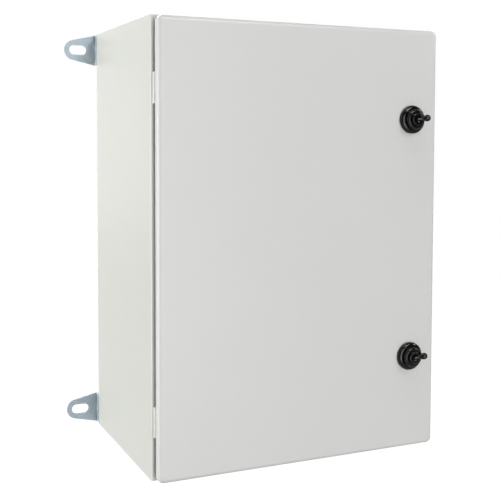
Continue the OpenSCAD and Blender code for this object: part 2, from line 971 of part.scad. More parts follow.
body_wrap();
top_panel();
bottom_panel();
gland_gasket();
gland_plate();
gland_studs();
gland_nuts();
plate_studs();
mounting_plate();
plate_nuts();
bracket_top_left();
bracket_top_right();
bracket_bottom_left();
bracket_bottom_right();
bracket_screws();
bracket_seals();
bracket_nuts();
body_leaf_top();
body_leaf_bottom();
hinge_pins();
body_earth_stud();
body_earth_nut();
door_panel();
door_gasket();
door_leaf_top();
door_leaf_bottom();
door_earth_stud();
door_earth_nut();
lock_housing_top();
lock_housing_bottom();
lock_seals();
lock_nuts();
wing_spindle_top();
cam_top();
cam_screw_top();
wing_spindle_bottom();
cam_bottom();
cam_screw_bottom();
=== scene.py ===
# %% [markdown]
# # A steel wall enclosure, dressed for a studio picture
# The real thing is a box folded from 1.5 mm sheet, sprayed with a light grey
# powder coat, with a hinged door, two black quarter-turn latches and four
# zinc-plated wall brackets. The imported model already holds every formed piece
# in metres, with the wall at y = 0, the door facing -Y and +Z up. So this
# lesson adds what a solid model leaves out: threads, hexagon heads, the arcs
# of the latch mouldings, weld beads, the poured gasket, finishes, lamps and
# the camera.

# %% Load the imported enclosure
import json
import math

import bpy
import numpy as np
from mathutils import Matrix, Vector


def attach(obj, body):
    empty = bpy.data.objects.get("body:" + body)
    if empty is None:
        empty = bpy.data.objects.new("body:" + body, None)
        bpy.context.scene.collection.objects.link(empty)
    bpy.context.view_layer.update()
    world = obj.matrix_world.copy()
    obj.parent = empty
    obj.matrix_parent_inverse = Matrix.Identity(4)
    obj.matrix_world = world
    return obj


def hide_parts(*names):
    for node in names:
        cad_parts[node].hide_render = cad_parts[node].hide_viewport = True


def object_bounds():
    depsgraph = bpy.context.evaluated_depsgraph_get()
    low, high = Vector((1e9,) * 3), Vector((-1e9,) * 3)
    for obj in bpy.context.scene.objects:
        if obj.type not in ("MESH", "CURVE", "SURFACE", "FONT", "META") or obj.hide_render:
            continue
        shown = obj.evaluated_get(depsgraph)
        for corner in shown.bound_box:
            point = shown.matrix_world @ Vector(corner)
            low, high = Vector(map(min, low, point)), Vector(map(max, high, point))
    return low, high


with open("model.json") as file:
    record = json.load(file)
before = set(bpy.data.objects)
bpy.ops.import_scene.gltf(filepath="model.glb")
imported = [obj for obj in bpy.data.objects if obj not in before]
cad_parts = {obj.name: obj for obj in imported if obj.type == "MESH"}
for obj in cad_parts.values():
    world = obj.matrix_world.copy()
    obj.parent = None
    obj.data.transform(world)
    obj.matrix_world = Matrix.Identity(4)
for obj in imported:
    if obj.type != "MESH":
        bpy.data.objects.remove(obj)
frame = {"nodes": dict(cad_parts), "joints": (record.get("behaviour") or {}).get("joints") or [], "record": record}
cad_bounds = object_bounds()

# %% [markdown]
# Colours are written as sRGB hex values, the way a paint chart or a colour
# picker gives them. A renderer adds up light, so it needs linear values. One
# function turns the first into the second.

# %% Colours from hex
def to_linear(hex_colour):
    """Each channel c of an sRGB colour: c / 12.92 below 0.04045, and
    ((c + 0.055) / 1.055) to the power 2.4 above it. Alpha is 1."""
    srgb = np.array([int(hex_colour[i:i + 2], 16) for i in (1, 3, 5)]) / 255
    linear = np.where(srgb <= 0.04045, srgb / 12.92, ((srgb + 0.055) / 1.055) ** 2.4)
    return (*linear.tolist(), 1.0)


print("paint grey in linear:", [round(c, 3) for c in to_linear("#D9DAD6")])

# %% [markdown]
# Every finish is a small node tree. One helper adds a node, sets its values
# and makes its links, so that a material reads as a list of what it is made
# of. A second one starts a material with its shader and output joined.

# %% One helper for nodes
def add_node(tree, kind, settings=None, links=None):
    """Adds a node. A setting goes to the input of that name or number, or
    else to the node's own property. A link joins an output to an input."""
    node = tree.nodes.new(kind)
    for name, value in (settings or {}).items():
        if isinstance(name, int) or name in node.inputs:
            node.inputs[name].default_value = value
        else:
            setattr(node, name, value)
    for name, output in (links or {}).items():
        tree.links.new(output, node.inputs[name])
    return node


def new_finish(name, settings):
    """An empty material whose Principled shader has these constant values."""
    material = bpy.data.materials.new(name)
    material.use_nodes = True
    tree = material.node_tree
    tree.nodes.clear()
    shader = add_node(tree, "ShaderNodeBsdfPrincipled", settings)
    add_node(tree, "ShaderNodeOutputMaterial", links={"Surface": shader.outputs["BSDF"]})
    place = add_node(tree, "ShaderNodeTexCoord").outputs["Object"]
    return material, tree, shader, place


MM = 0.001

# %% [markdown]
# ## Light grey powder coat
# Epoxy-polyester powder is sprayed on dry and baked at 180 degrees, where it
# flows out to a film of about 0.08 mm. The film keeps a fine orange peel of
# about 2 mm and a grain of 0.6 mm, and its gloss is broken by both. The
# colour is even, with a faint cloudiness from the thickness of the film.

# %% Finish: powder coat
def powder_coat(name, thin_hex, thick_hex):
    """Two greys mixed by a slow noise, with orange peel and grain as bumps."""
    material, tree, shader, place = new_finish(name, {"IOR": 1.5, "Metallic": 0.0})
    film = add_node(tree, "ShaderNodeTexNoise",
                    {"Scale": 1 / (90 * MM), "Detail": 3.0, "Roughness": 0.55},
                    {"Vector": place})
    peel = add_node(tree, "ShaderNodeTexNoise",
                    {"Scale": 1 / (2.2 * MM), "Detail": 2.0, "Roughness": 0.4},
                    {"Vector": place})
    grain = add_node(tree, "ShaderNodeTexNoise",
                     {"Scale": 1 / (0.6 * MM), "Detail": 2.0, "Roughness": 0.6},
                     {"Vector": place})
    cloud = add_node(tree, "ShaderNodeMix",
                     {"data_type": "RGBA", 6: to_linear(thin_hex), 7: to_linear(thick_hex)},
                     {0: film.outputs["Fac"]})
    speck = add_node(tree, "ShaderNodeMapRange",
                     {"From Min": 0.3, "From Max": 0.7, "To Min": 0.985, "To Max": 1.015},
                     {"Value": grain.outputs["Fac"]})
    colour = add_node(tree, "ShaderNodeMix",
                      {"data_type": "RGBA", "blend_type": "MULTIPLY", 0: 1.0},
                      {6: cloud.outputs[2], 7: speck.outputs["Result"]})
    gloss = add_node(tree, "ShaderNodeMapRange",
                     {"From Min": 0.3, "From Max": 0.7, "To Min": 0.30, "To Max": 0.38},
                     {"Value": peel.outputs["Fac"]})
    waves = add_node(tree, "ShaderNodeBump", {"Strength": 0.5, "Distance": 0.05 * MM},
                     {"Height": peel.outputs["Fac"]})
    pits = add_node(tree, "ShaderNodeBump", {"Strength": 0.5, "Distance": 0.02 * MM},
                    {"Height": grain.outputs["Fac"], "Normal": waves.outputs["Normal"]})
    tree.links.new(colour.outputs[2], shader.inputs["Base Color"])
    tree.links.new(gloss.outputs["Result"], shader.inputs["Roughness"])
    tree.links.new(pits.outputs["Normal"], shader.inputs["Normal"])
    return material


body_paint = powder_coat("powder_coat_body", "#D8D9D2", "#DCDDD6")
door_paint = powder_coat("powder_coat_door", "#DADAD8", "#DDDDDB")
print("paints:", body_paint.name, door_paint.name)

# %% [markdown]
# ## Zinc plate
# Electroplated zinc is a bright bluish white. The thin blue passivation
# leaves soft clouds, a little cooler or warmer by a few millimetres, and the
# rolled steel below shows as very fine lines along the strip. The brackets
# are duller than the screws and nuts, so they get a higher roughness.

# %% Finish: zinc plate
def zinc_plate(name, cool_hex, warm_hex, cloud_mm, rough_low, rough_high):
    """Cool and warm metal mixed by clouds, with rolling lines as a bump."""
    material, tree, shader, place = new_finish(name, {"Metallic": 1.0})
    clouds = add_node(tree, "ShaderNodeTexNoise",
                      {"Scale": 1 / (cloud_mm * MM), "Detail": 4.0, "Roughness": 0.6},
                      {"Vector": place})
    spread = add_node(tree, "ShaderNodeMapRange", {"From Min": 0.35, "From Max": 0.65},
                      {"Value": clouds.outputs["Fac"]})
    colour = add_node(tree, "ShaderNodeMix",
                      {"data_type": "RGBA", 6: to_linear(cool_hex), 7: to_linear(warm_hex)},
                      {0: spread.outputs["Result"]})
    rough = add_node(tree, "ShaderNodeMapRange",
                     {"From Min": 0.3, "From Max": 0.7, "To Min": rough_low, "To Max": rough_high},
                     {"Value": clouds.outputs["Fac"]})
    strip = add_node(tree, "ShaderNodeMapping", {"Scale": (0.06, 1.0, 1.0)}, {"Vector": place})
    lines = add_node(tree, "ShaderNodeTexNoise",
                     {"Scale": 1 / (0.5 * MM), "Detail": 2.0, "Roughness": 0.6},
                     {"Vector": strip.outputs["Vector"]})
    bump = add_node(tree, "ShaderNodeBump", {"Strength": 0.4, "Distance": 0.01 * MM},
                    {"Height": lines.outputs["Fac"]})
    tree.links.new(colour.outputs[2], shader.inputs["Base Color"])
    tree.links.new(rough.outputs["Result"], shader.inputs["Roughness"])
    tree.links.new(bump.outputs["Normal"], shader.inputs["Normal"])
    return material


bracket_zinc = zinc_plate("blue_passivated_zinc", "#9EADB7", "#AFB9BE", 7, 0.60, 0.68)
fastener_zinc = zinc_plate("bright_zinc", "#BFC7CD", "#D0D2D0", 3, 0.22, 0.34)
print("zinc:", bracket_zinc.name, fastener_zinc.name)

# %% [markdown]
# ## Hot-dip galvanised sheet
# The mounting plate is cut from galvanised strip. The zinc froze on it as
# flat crystals, the spangle, 8 to 15 mm across. Each crystal has its own
# direction, so it has its own grey and its own gloss, with no step between.

# %% Finish: galvanised sheet
def galvanised_sheet(name, dark_hex, light_hex):
    """Voronoi cells of 9 mm, each with one random grey and roughness."""
    material, tree, shader, place = new_finish(name, {"Metallic": 1.0})
    wander = add_node(tree, "ShaderNodeTexNoise",
                      {"Scale": 1 / (6 * MM), "Detail": 3.0}, {"Vector": place})
    bent = add_node(tree, "ShaderNodeMix",
                    {"data_type": "RGBA", "blend_type": "LINEAR_LIGHT", 0: 0.004},
                    {6: place, 7: wander.outputs["Color"]})
    cells = add_node(tree, "ShaderNodeTexVoronoi", {"Scale": 1 / (9 * MM)},
                     {"Vector": bent.outputs[2]})
    share = add_node(tree, "ShaderNodeSeparateColor", links={"Color": cells.outputs["Color"]})
    colour = add_node(tree, "ShaderNodeMix",
                      {"data_type": "RGBA", 6: to_linear(dark_hex), 7: to_linear(light_hex)},
                      {0: share.outputs["Red"]})
    rough = add_node(tree, "ShaderNodeMapRange", {"To Min": 0.50, "To Max": 0.62},
                     {"Value": share.outputs["Green"]})
    skin = add_node(tree, "ShaderNodeTexNoise",
                    {"Scale": 1 / (0.8 * MM), "Detail": 3.0}, {"Vector": place})
    bump = add_node(tree, "ShaderNodeBump", {"Strength": 0.4, "Distance": 0.01 * MM},
                    {"Height": skin.outputs["Fac"]})
    tree.links.new(colour.outputs[2], shader.inputs["Base Color"])
    tree.links.new(rough.outputs["Result"], shader.inputs["Roughness"])
    tree.links.new(bump.outputs["Normal"], shader.inputs["Normal"])
    return material


plate_zinc = galvanised_sheet("galvanised_sheet", "#8B9196", "#989EA2")
print("sheet:", plate_zinc.name)

# %% [markdown]
# ## Black polyamide, moulded against a polished tool
# The latches are glass-filled polyamide with a glossy skin. The base is
# nearly black, the gloss is high, and the skin has the slow sink marks and
# the faint bloom that a thick moulding shows under a lamp.

# %% Finish: glossy black moulding
def black_moulding(name, hex_colour):
    """One black, with gloss that varies over 5 mm and a shallow sink bump.
    The specular level is below the usual 0.5, so that the black stays deep."""
    material, tree, shader, place = new_finish(
        name, {"Base Color": to_linear(hex_colour), "IOR": 1.5, "Metallic": 0.0,
               "Specular IOR Level": 0.32})
    bloom = add_node(tree, "ShaderNodeTexNoise",
                     {"Scale": 1 / (5 * MM), "Detail": 4.0, "Roughness": 0.6},
                     {"Vector": place})
    rough = add_node(tree, "ShaderNodeMapRange",
                     {"From Min": 0.3, "From Max": 0.7, "To Min": 0.06, "To Max": 0.12},
                     {"Value": bloom.outputs["Fac"]})
    sink = add_node(tree, "ShaderNodeBump", {"Strength": 0.3, "Distance": 0.08 * MM},
                    {"Height": bloom.outputs["Fac"]})
    tree.links.new(rough.outputs["Result"], shader.inputs["Roughness"])
    tree.links.new(sink.outputs["Normal"], shader.inputs["Normal"])
    return material


latch_black = black_moulding("polyamide_black", "#070708")
print("moulding:", latch_black.name)

# %% [markdown]
# ## Foamed gasket and cut rubber
# The door's gasket is polyurethane poured as a liquid that foams in place.
# It has a closed skin with pores of about 0.5 mm. The flat seals are cut
# from black rubber sheet, which is smoother and has a faint dusty bloom.

# %% Finish: foam and rubber
def soft_seal(name, dark_hex, light_hex, pore_mm, depth_mm, roughness):
    """Pores from Voronoi distance, pressed in as a bump, with painted shade that darkens their pits; a slow noise
    adds a dusty bloom.
    """
    material, tree, shader, place = new_finish(
        name, {"Roughness": roughness, "IOR": 1.45, "Metallic": 0.0})
    pores = add_node(tree, "ShaderNodeTexVoronoi", {"Scale": 1 / (pore_mm * MM)},
                     {"Vector": place})
    dust = add_node(tree, "ShaderNodeTexNoise",
                    {"Scale": 1 / (14 * MM), "Detail": 4.0}, {"Vector": place})
    # Painted shade in the pores, times a real dusty bloom: the colour is darkest in the pits
    pore_shade_and_dust = add_node(tree, "ShaderNodeMath", {"operation": "MULTIPLY"},
                     {0: pores.outputs["Distance"], 1: dust.outputs["Fac"]})
    colour = add_node(tree, "ShaderNodeMix",
                      {"data_type": "RGBA", 6: to_linear(dark_hex), 7: to_linear(light_hex)},
                      {0: pore_shade_and_dust.outputs["Value"]})
    bump = add_node(tree, "ShaderNodeBump", {"Strength": 0.6, "Distance": depth_mm * MM},
                    {"Height": pores.outputs["Distance"]})
    tree.links.new(colour.outputs[2], shader.inputs["Base Color"])
    tree.links.new(bump.outputs["Normal"], shader.inputs["Normal"])
    return material


door_foam = soft_seal("polyurethane_foam", "#232426", "#3A3B3E", 0.9, 0.15, 0.75)
seal_rubber = soft_seal("rubber_sheet", "#18181A", "#242427", 0.5, 0.03, 0.6)
print("seals:", door_foam.name, seal_rubber.name)

# %% [markdown]
# The record gives every node a slot. The finishes go on by slot, so that a
# piece and its neighbour of the same metal always match.

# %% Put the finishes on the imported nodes
FINISH = {
    "body_paint": body_paint, "door_paint": door_paint,
    "bracket_zinc": bracket_zinc, "zinc_steel": fastener_zinc,
    "galvanised_plate": plate_zinc, "latch_black": latch_black,
    "door_foam": door_foam, "seal_rubber": seal_rubber,
}
slot_of = {part["node"]: part["material_slot"] for part in frame["record"]["subparts"]}
for name, node in frame["nodes"].items():
    for slot in node.material_slots:
        slot.material = FINISH[slot_of[name]]
print("dressed", len(slot_of), "nodes in", len(FINISH), "finishes")

# %% [markdown]
# ## Turned and threaded pieces
# A screw is a turned form: a profile carried once round an axis. If the
# radius may change with the angle as well as with the height, then the same
# grid also gives a hexagon, a thread and a cross recess. So one function
# makes the grid, and each piece is only a rule for its radius and height. A
# flat end runs in to a ring of 0.1 mm round its pole.

# %% A closed grid round an axis
COLUMNS, POLE_R = 48, 0.1
ANGLE = np.arange(COLUMNS) * 2 * np.pi / COLUMNS


def turned(*sections, hollow=False):
    """Each section is a pair (radius, height) in mm that fills rows of
    COLUMNS points. Point j of a row lies at x = r cos a, y = r sin a, z = h,
    with a = 2 pi j / COLUMNS. A hollow form joins its last row to its first,
    and any other has a point at each end that closes the pole."""
    pairs = [np.broadcast_arrays(np.atleast_2d(r), np.atleast_2d(h), np.zeros((1, COLUMNS)))
             for r, h in sections]
    radius, height = (np.concatenate([pair[i] for pair in pairs]) for i in (0, 1))
    rows = len(radius)
    ring = np.stack([radius * np.cos(ANGLE), radius * np.sin(ANGLE), height], axis=-1)
    i, j = np.meshgrid(np.arange(rows if hollow else rows - 1), np.arange(COLUMNS),
                       indexing="ij")
    this, above, beside = i * COLUMNS, (i + 1) % rows * COLUMNS, (j + 1) % COLUMNS
    quads = np.stack([this + j, this + beside, above + beside, above + j],
                     axis=-1).reshape(-1, 4)
    if hollow:
        return ring.reshape(-1, 3), quads.tolist()
    poles = np.array([[0, 0, height[0].mean()], [0, 0, height[-1].mean()]])
    column, last = np.arange(COLUMNS), (rows - 1) * COLUMNS
    following = (column + 1) % COLUMNS
    low_pole, high_pole = (np.full(COLUMNS, rows * COLUMNS + k) for k in (0, 1))
    fans = np.concatenate([np.stack([low_pole, following, column], axis=-1),
                           np.stack([high_pole, last + column, last + following], axis=-1)])
    return np.concatenate([ring.reshape(-1, 3), poles]), quads.tolist() + fans.tolist()


print("columns round each turned piece:", COLUMNS)

# %% [markdown]
# A metric thread is a triangle wave wound round a cylinder. Its flanks meet
# at 60 degrees, so it is 0.613 of a pitch deep, with a flat of an eighth of a
# pitch on the crest and a quarter in the root. Rows an eighth of a pitch
# apart keep the wave sharp.

# %% Threads and hexagons
THREAD_DEPTH = 0.613
HEX_TURNED_OFF, HEX_CONE_START = 0.045, 0.49


def thread(major_r, pitch, start, end):
    """r = major - 0.613 pitch * ridge, where ridge is a triangle wave of
    height / pitch - angle / 2 pi, cut flat at the crest and the root. It
    fades in over one pitch from the start, and a 45 degree cone turns the
    end down to the root."""
    height = np.arange(start, end, pitch / 8)[:, None]
    phase = (height / pitch - ANGLE / (2 * np.pi)) % 1
    ridge = np.clip((np.abs(2 * phase - 1) - 0.125) / 0.625, 0, 1)
    depth = THREAD_DEPTH * pitch
    radius = major_r - depth * ridge * np.clip((height - start) / pitch, 0, 1)
    return np.minimum(radius, major_r - depth + (end - height)), height


def hexagon(flats, start, end):
    """r = (flats / 2) / cos(a folded into 30 degrees either side of a flat),
    and never more than a 30 degree cone that turns both faces down. The cone
    starts inside the flats and reaches down by 0.045 of their width."""
    folded = (ANGLE + np.pi / 6) % (np.pi / 3) - np.pi / 6
    turned_off = np.array([0, 0.2, 0.45, 0.75, 1.0])[:, None] * flats * HEX_TURNED_OFF
    height = np.concatenate([start + turned_off, end - turned_off[::-1]])
    from_face = np.minimum(height - start, end - height)
    cone = flats * HEX_CONE_START + from_face / math.tan(math.radians(30))
    return np.minimum(flats / 2 / np.cos(folded), cone), height


def set_down(shape, base, axis):
    """Turns the shape's z to the axis, moves it to base, and gives metres."""
    points, faces = shape
    turn = np.array(Vector((0, 0, 1)).rotation_difference(Vector(axis)).to_matrix())
    return (points @ turn.T + np.array(base)) * MM, faces


def new_piece(name, shapes, body, slot_name, crease=35):
    """One mesh from several shapes, with a crease where faces turn sharply."""
    points, faces, count = [], [], 0
    for shape_points, shape_faces in shapes:
        points.append(shape_points)
        faces += [[v + count for v in face] for face in shape_faces]
        count += len(shape_points)
    mesh = bpy.data.meshes.new(name)
    mesh.from_pydata(np.concatenate(points).tolist(), [], faces)
    mesh.polygons.foreach_set("use_smooth", np.ones(len(faces), bool))
    mesh.set_sharp_from_angle(angle=math.radians(crease))
    mesh.materials.append(FINISH[slot_name])
    piece = bpy.data.objects.new(name, mesh)
    bpy.context.scene.collection.objects.link(piece)
    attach(piece, body)
    print(name, "faces:", len(faces))
    return piece


print("M8 thread depth:", round(THREAD_DEPTH * 1.25, 3), "mm")

# %% [markdown]
# ## Studs welded to the sheet
# The mounting plate stands on four spacers welded to the back, each with an
# M8 stud. Six M6 studs hold the gland plate, and an M8 stud in the body and
# one in the door take the earth wires. A drawn-arc stud leaves a low collar
# of melted metal at its foot, which is modelled as one raised ring.

# %% Weld studs
STUD_R, GLAND_STUD_R = 4.0, 3.0
M8_PITCH, M6_PITCH, M4_PITCH = 1.25, 1.0, 0.7
SPACER_R, SPACER_L, PLATE_STUD_L = 7.6, 20.0, 32.4
EARTH_L, GLAND_STUD_L = 20.0, 10.8
SPACER_EDGE, SPACER_COLLAR, EARTH_COLLAR, GLAND_COLLAR = 0.6, 0.1, 0.8, 0.3
PLATE_STUDS = [(x, -11.5, z) for x in (-140, 140) for z in (-215, 215)]
GLAND_STUDS = [(x, y, -248.5) for x in (-110, 0, 110) for y in (-186.75, -66.75)]
BODY_EARTH, DOOR_EARTH = (-173.5, -202, -205), (-130, -258.5, -205)


def weld_stud(major_r, pitch, length, collar):
    """A thread that stands on a collar with a domed rim."""
    lean = np.linspace(0, np.pi / 2, 5)[:, None]
    return turned((POLE_R, 0.0), (major_r + collar * np.cos(lean), collar * np.sin(lean)),
                  thread(major_r, pitch, collar, length), (POLE_R, length))


def spacer_stud():
    """A turned spacer with broken edges, and the stud that stands on it."""
    return turned((POLE_R, 0.0), (SPACER_R, 0.0), (SPACER_R, SPACER_L - SPACER_EDGE),
                  (SPACER_R - SPACER_EDGE, SPACER_L), (STUD_R + SPACER_COLLAR, SPACER_L),
                  thread(STUD_R, M8_PITCH, SPACER_L, PLATE_STUD_L), (POLE_R, PLATE_STUD_L))


gland_stud = weld_stud(GLAND_STUD_R, M6_PITCH, GLAND_STUD_L, GLAND_COLLAR)
earth_stud = weld_stud(STUD_R, M8_PITCH, EARTH_L, EARTH_COLLAR)
for name, replaced, body, shape, places, axis in (
        ("plate_stud_threads", "plate_studs", "body", spacer_stud(), PLATE_STUDS, (0, -1, 0)),
        ("gland_stud_threads", "gland_studs", "body", gland_stud, GLAND_STUDS, (0, 0, 1)),
        ("body_earth_thread", "body_earth_stud", "body", earth_stud, [BODY_EARTH], (1, 0, 0)),
        ("door_earth_thread", "door_earth_stud", "door", earth_stud, [DOOR_EARTH], (0, 1, 0))):
    studs = new_piece(name, [set_down(shape, at, axis) for at in places], body, "zinc_steel")
    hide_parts(replaced)

# %% [markdown]
# ## Bracket screws
# Each wall bracket hangs on one M8 hexagon screw, put in from behind. The
# head has its corners turned off at 30 degrees, and the shank is plain for a
# short way below it.

# %% Hexagon screws
HEAD_FLATS, HEAD_H, SCREW_L, PLAIN_L = 13.0, 4.8, 18.7, 2.5
BRACKET_SCREWS = [(x, -2.7, z) for x in (-159, 159) for z in (-231.25, 231.25)]
hex_screw = turned(
    (POLE_R, 0.0), hexagon(HEAD_FLATS, 0.0, HEAD_H), (STUD_R, HEAD_H), (STUD_R, HEAD_H + PLAIN_L),
    thread(STUD_R, M8_PITCH, HEAD_H + PLAIN_L, SCREW_L), (POLE_R, SCREW_L))
bracket_screws = new_piece("bracket_hex_screws", [
    set_down(hex_screw, at, (0, -1, 0)) for at in BRACKET_SCREWS], "body", "zinc_steel")
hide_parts("bracket_screws")

# %% [markdown]
# ## Latch housings
# Each latch is a moulding with a domed flange, a groove and a drum, on a
# threaded barrel with two flats that passes through the door. The gloss of
# such a piece is read from its edges, so they are drawn as true arcs: a
# quarter ellipse on the flange and a quarter circle on the drum. The profile
# runs up the outside, over the drum and back down the bore. The joints of the
# frame say where each latch stands on the face of the door.

# %% Housings
LATCHES = {joint["child"]: [round(c / MM, 3) for c in joint["pos_m"]]
           for joint in frame["joints"] if joint["child"].startswith("latch_")}
SEAL_T, FLANGE_R, FLANGE_TOP, DRUM_R, DRUM_TOP = 0.8, 16.5, 6.0, 11.75, 12.0
BARREL_R, BARREL_FLAT, BARREL_END, BARREL_PITCH = 9.0, 8.0, -19.0, 1.5
HUB_R, HUB_FLOOR, SPINDLE_R, PLAY = 7.2, 3.2, 5.0, 0.05
DOME_W, DOME_H, DRUM_EDGE, HUB_BORE = 4.2, 3.2, 2.4, HUB_R + PLAY
GROOVE_DEEP, EDGE = 0.6, 0.3
quarter = np.linspace(0, np.pi / 2, 9)[:, None]


def barrel():
    """The thread, turned over to start at the far end, and cut by two flats
    at x = +-8: r is never more than 8 / |cos a|."""
    radius, height = thread(BARREL_R, BARREL_PITCH, 0.0, SEAL_T - BARREL_END)
    radius = np.roll(radius[::-1, ::-1], 1, axis=1)
    flat = BARREL_FLAT / np.maximum(np.abs(np.cos(ANGLE)), 0.001)
    return np.minimum(radius, flat), SEAL_T - height[::-1]


housing = turned(
    barrel(), (FLANGE_R - EDGE, SEAL_T), (FLANGE_R, SEAL_T + EDGE),
    (FLANGE_R - DOME_W + DOME_W * np.cos(quarter),
     FLANGE_TOP - DOME_H + DOME_H * np.sin(quarter)),
    (DRUM_R + 0.5, FLANGE_TOP - 0.1), (DRUM_R + 0.4, FLANGE_TOP - GROOVE_DEEP),
    (DRUM_R, FLANGE_TOP - GROOVE_DEEP),
    (DRUM_R - DRUM_EDGE + DRUM_EDGE * np.cos(quarter),
     DRUM_TOP - DRUM_EDGE + DRUM_EDGE * np.sin(quarter)),
    (HUB_BORE + EDGE, DRUM_TOP), (HUB_BORE, DRUM_TOP - EDGE), (HUB_BORE, HUB_FLOOR),
    (SPINDLE_R + PLAY, HUB_FLOOR), (SPINDLE_R + PLAY, BARREL_END), hollow=True)
for body, place in LATCHES.items():
    end = body.removeprefix("latch_")
    piece = new_piece("latch_housing_" + end, [set_down(housing, place, (0, -1, 0))],
                      "door", "latch_black")
    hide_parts("lock_housing_" + end)

# %% [markdown]
# ## Wings
# The hub turns in the drum, with a dished recess in its face. The wing grows
# out of the recess as a thin neck and swells into a ball for the finger. Its
# radius along the neck follows a smooth step, which has no kink at either
# end. At rest it stands 9 degrees above level.

# %% Wings
HUB_TOP, HUB_EDGE, RECESS_R, RECESS_DEEP, CAM_Z = 15.0, 1.0, 4.4, 1.75, -20.0
SQUARE_HALF, CAM_T, NECK_R, BALL_R, TILT = 3.2, 3.0, 1.9, 4.0, math.radians(9)
NECK_Z, BALL_X, BALL_Z = HUB_TOP - NECK_R / 2, 11.5, 16.5
square = SQUARE_HALF / np.maximum(np.abs(np.cos(ANGLE)), np.abs(np.sin(ANGLE)))
hub = turned(
    (POLE_R, CAM_Z - CAM_T), (square, CAM_Z - CAM_T), (square, CAM_Z), (SPINDLE_R, CAM_Z),
    (SPINDLE_R, HUB_FLOOR + PLAY), (HUB_R, HUB_FLOOR + PLAY),
    (HUB_R - HUB_EDGE + HUB_EDGE * np.cos(quarter),
     HUB_TOP - HUB_EDGE + HUB_EDGE * np.sin(quarter)),
    (RECESS_R + 0.2, HUB_TOP),
    (POLE_R + RECESS_R * np.cos(quarter), HUB_TOP - 0.1 - RECESS_DEEP * np.sin(quarter)))


def wing(length):
    """At s along the bar r = neck + (ball - neck) t^2 (3 - 2 t), where t runs
    from 0 at 0.3 of the length to 1 at the ball. Both ends are round."""
    s = np.linspace(0, length, 20)[:, None]
    t = np.clip((s / length - 0.3) / 0.7, 0, 1)
    return turned((NECK_R * np.sin(quarter + 0.01), -NECK_R * np.cos(quarter)),
                  (NECK_R + (BALL_R - NECK_R) * t * t * (3 - 2 * t), s),
                  (BALL_R * np.cos(quarter[1:] - 0.01), length + BALL_R * np.sin(quarter[1:])))


reach = math.hypot(BALL_X, BALL_Z - NECK_Z)
lean = (BALL_X * math.cos(TILT) / reach, (NECK_Z - BALL_Z) / reach, BALL_X * math.sin(TILT) / reach)
for body, (x, y, z) in LATCHES.items():
    end = body.removeprefix("latch_")
    piece = new_piece("latch_wing_" + end, [set_down(hub, (x, y, z), (0, -1, 0)),
                                            set_down(wing(reach), (x, y - NECK_Z, z), lean)],
                      body, "latch_black")
    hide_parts("wing_spindle_" + end)

# %% [markdown]
# ## Cam screws
# A pan-head screw with a loose washer holds each cam on its square. The
# recess for the driver is a cross whose arms grow shallower outward. It is
# cut by lowering the height of the head's grid wherever a point lies within
# half an arm's width of either axis.

# %% Screws with a cross recess
WASHER_R, WASHER_T, PAN_R, PAN_H = 6.0, 1.0, 4.0, 2.2
CAM_SCREW_R, CAM_SCREW_L, CAM_SCREW_Y = 2.0, 9.0, -246
ARM_W, ARM_REACH, ARM_WALL, ARM_FALL, CROSS_DEEP = 1.1, 2.3, 0.25, 1.6, 1.5


def pan_head():
    """h = base + H sqrt(1 - 0.9 (r / R)^4) less the recess, whose depth falls
    in a straight line from the middle to the ends of the arms."""
    radius = PAN_R * np.linspace(1, 0.02, 40)[:, None] * np.ones(COLUMNS)
    x, y = radius * np.cos(ANGLE), radius * np.sin(ANGLE)
    across = np.minimum(np.abs(x), np.abs(y))
    wall = np.clip((ARM_W / 2 - across) / ARM_WALL, 0, 1)
    recess = CROSS_DEEP * wall * np.clip((ARM_REACH - radius) / ARM_REACH * ARM_FALL, 0, 1)
    dome = PAN_H * np.sqrt(1 - 0.9 * (radius / PAN_R) ** 4)
    return radius, CAM_SCREW_L + WASHER_T + dome - recess


washer_top = CAM_SCREW_L + WASHER_T
cam_screw = turned(
    (POLE_R, 0.0), thread(CAM_SCREW_R, M4_PITCH, 0.0, CAM_SCREW_L - 1),
    (CAM_SCREW_R, CAM_SCREW_L), (WASHER_R, CAM_SCREW_L), (WASHER_R, washer_top),
    (PAN_R, washer_top), pan_head())
for body, (x, y, z) in LATCHES.items():
    end = body.removeprefix("latch_")
    screw = new_piece("cam_cross_screw_" + end,
                      [set_down(cam_screw, (x, CAM_SCREW_Y, z), (0, 1, 0))], body, "zinc_steel")
    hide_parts("cam_screw_" + end)

# %% [markdown]
# ## Weld beads
# The covers are stitched to the walls from inside, where the paint runs over
# the beads, and the hinge leaves and spacers carry short beads too. A bead
# is a round section carried along a line. Its radius swells at every step of
# the torch, about 1.6 mm apart, and falls to nothing at both ends.

# %% Beads
RIPPLE, ROWS_PER_RIPPLE = 1.6, 5


def bead(start, end, radius):
    """At distance s along the line the radius is R (1 + 0.12 sin(2 pi s /
    ripple)) times the fourth root of 1 - (2 s / L - 1)^8, which ends it."""
    start, end = np.array(start, float), np.array(end, float)
    length = np.linalg.norm(end - start)
    s = np.linspace(0, 1, 2 + int(length / RIPPLE * ROWS_PER_RIPPLE))[:, None]
    ends = np.clip(1 - (2 * s - 1) ** 8, 0.0004, 1) ** 0.25
    swell = radius * ends * (1 + 0.12 * np.sin(2 * np.pi * s * length / RIPPLE))
    return set_down(turned((swell, s * length)), start, tuple((end - start) / length))


def ring_bead(centre, axis, radius, width):
    """A low ring round a foot: its height is a half sine over its width,
    with ripples round the ring."""
    across = np.linspace(0, 1, 7)[:, None]
    steps = round(2 * np.pi * radius / RIPPLE)
    height = width * np.sin(np.pi / 2 * (1 - across ** 2)) * (1 + 0.1 * np.sin(steps * ANGLE))
    rim = radius + width * across
    return set_down(turned((POLE_R, 0.0), (rim[::-1], height[::-1]), (POLE_R, width)), centre, axis)


